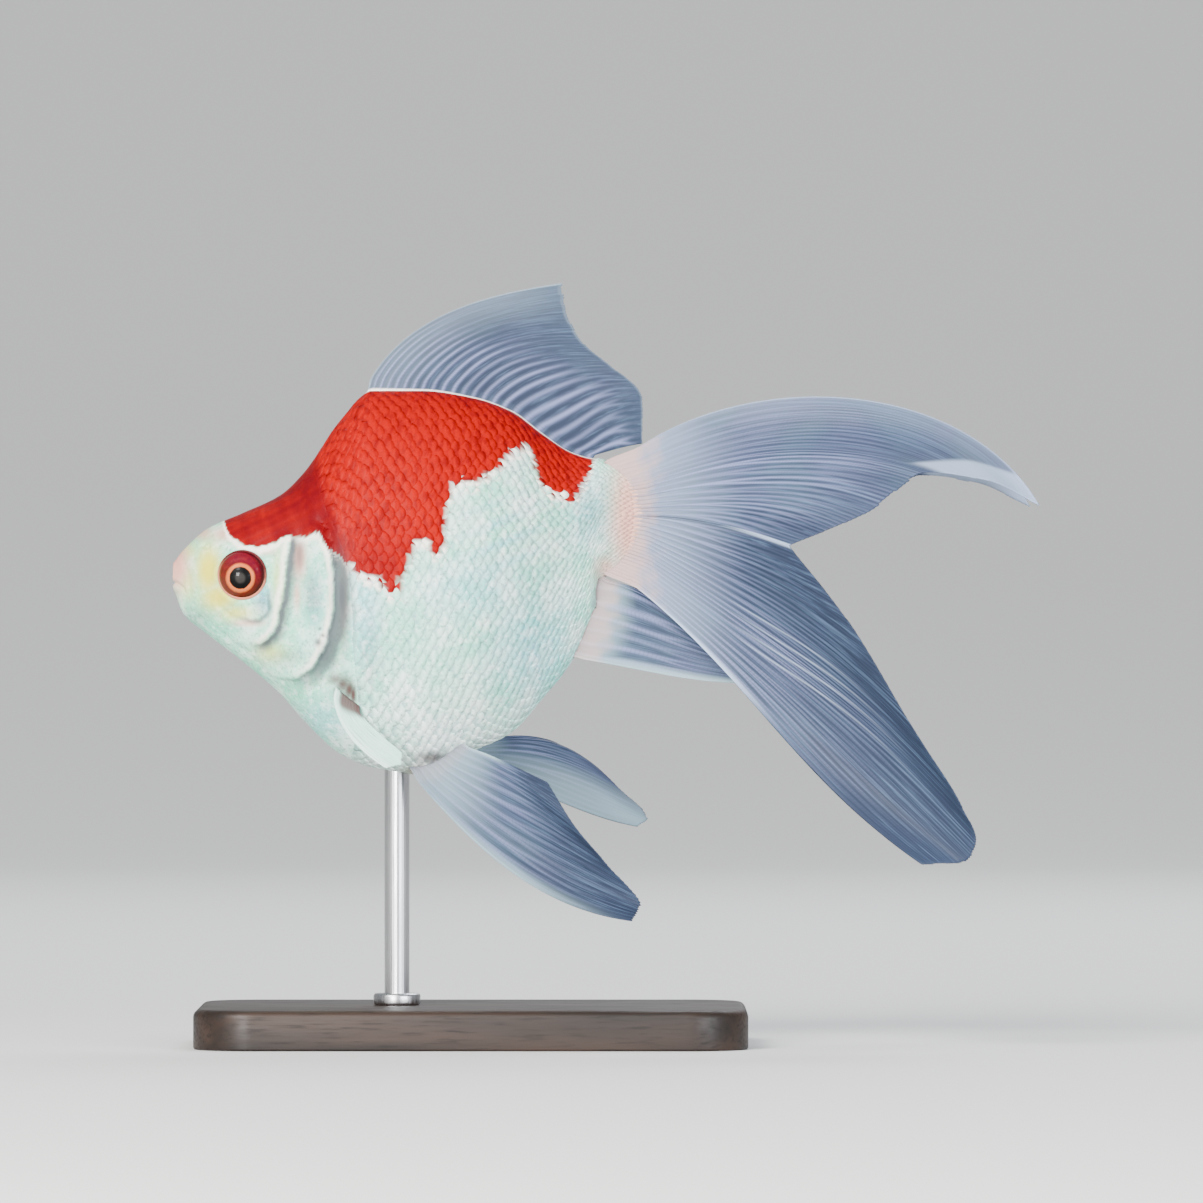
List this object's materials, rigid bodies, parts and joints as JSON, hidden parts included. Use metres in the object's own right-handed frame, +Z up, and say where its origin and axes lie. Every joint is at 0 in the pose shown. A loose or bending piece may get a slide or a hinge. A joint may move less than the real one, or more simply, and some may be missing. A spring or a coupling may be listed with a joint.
{
  "type": "ryukin goldfish model",
  "caption": "Life-size red and white fancy goldfish with a deep humped body, tall back fin and long double tail, held on a rod above a flat stand.",
  "frame": {"origin": "centre of the underside of the stand's base", "axes": "+X from the fish's snout towards its tail, -Y towards its left side, +Z up"},
  "size_m": [0.1727, 0.0706, 0.1524],
  "materials": {
    "red_scales": "wet, overlapping scales",
    "white_scales": "wet, overlapping scales with a faint pearly shine",
    "gill_cover": "smooth wet skin over bone",
    "eye": "clear wet eye with a red iris",
    "fin": "thin translucent skin between fine rays",
    "stand_wood": "dark stained and satin lacquered",
    "stand_steel": "satin"
  },
  "bodies": {
    "root": {"upper_jaw": "white_scales", "lower_jaw": "white_scales", "head": "red_scales", "trunk": "red_scales", "tail_stalk": "white_scales", "gill_cover_left": "gill_cover", "gill_cover_right": "gill_cover", "eye_left": "eye", "eye_right": "eye", "dorsal_fin": "fin", "pectoral_fin_left": "fin", "pectoral_fin_right": "fin", "pelvic_fin_left": "fin", "pelvic_fin_right": "fin", "anal_fin_left": "fin", "anal_fin_right": "fin", "tail_left_upper_lobe": "fin", "tail_left_lower_lobe": "fin", "tail_right_upper_lobe": "fin", "tail_right_lower_lobe": "fin", "stand_base": "stand_wood", "stand_rod": "stand_steel"}
  },
  "joints": []
}
